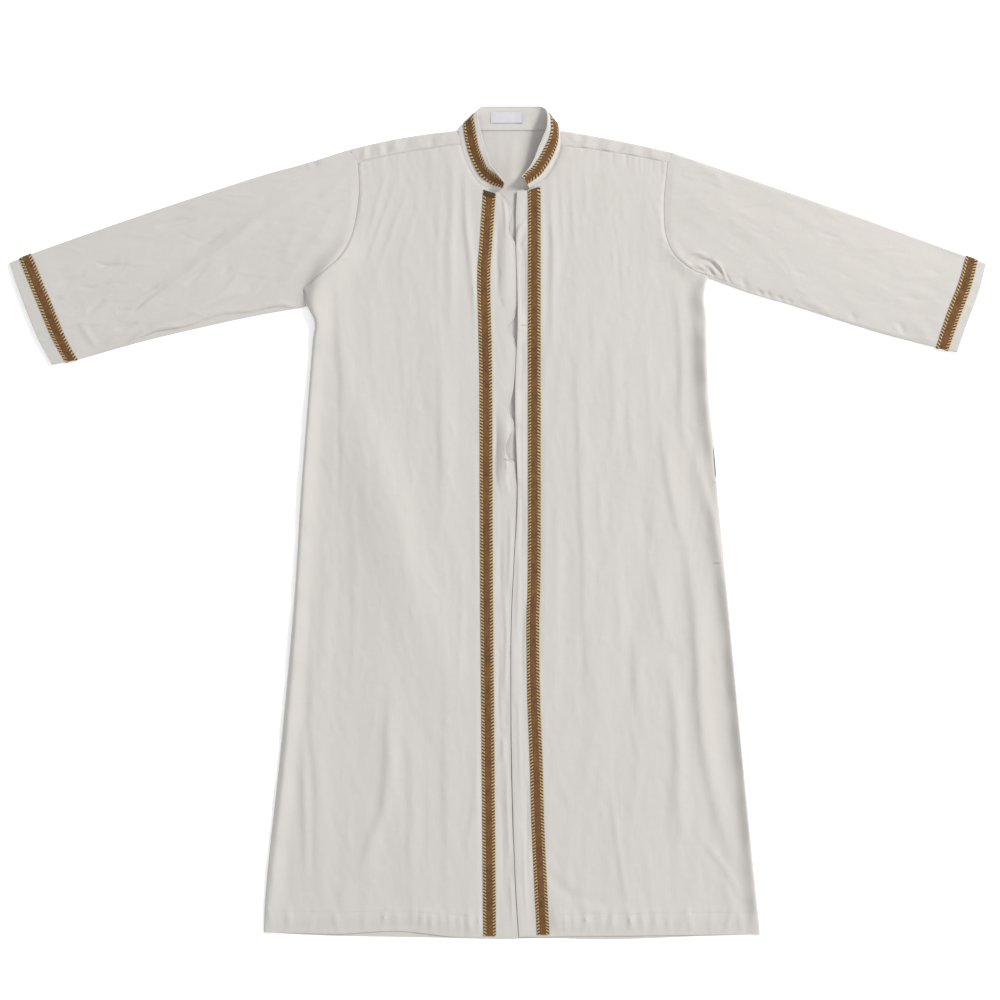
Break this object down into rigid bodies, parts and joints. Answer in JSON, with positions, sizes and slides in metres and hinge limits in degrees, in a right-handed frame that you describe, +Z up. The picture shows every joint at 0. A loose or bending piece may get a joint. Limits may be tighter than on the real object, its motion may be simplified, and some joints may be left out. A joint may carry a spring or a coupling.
{
  "type": "thobe robe",
  "caption": "Long open-fronted robe with stand collar, yoke, long sleeves and twisted-edge braid on fronts, collar and cuffs, laid flat on its back.",
  "frame": {"origin": "bottom centre of the laid garment's bounding box, on the surface that it lies on", "axes": "+Z up out of the surface, +Y from the hem towards the collar, +X towards the wearer's left cuff"},
  "size_m": [1.512, 1.29, 0.033],
  "materials": {
    "cloth": "matte fine plain weave, off-white",
    "braid": "brown twill centre between twisted gold cord edges",
    "label": "smooth blank woven tape, white"
  },
  "bodies": {
    "root": {"back": "cloth", "yoke": "cloth", "right_front": "cloth", "left_front": "cloth", "right_placket": "cloth", "left_placket": "cloth", "right_sleeve": "cloth", "left_sleeve": "cloth", "collar": "cloth", "neck_label": "label", "right_front_braid": "braid", "left_front_braid": "braid", "collar_braid": "braid", "right_cuff_braid": "braid", "left_cuff_braid": "braid"}
  },
  "joints": []
}
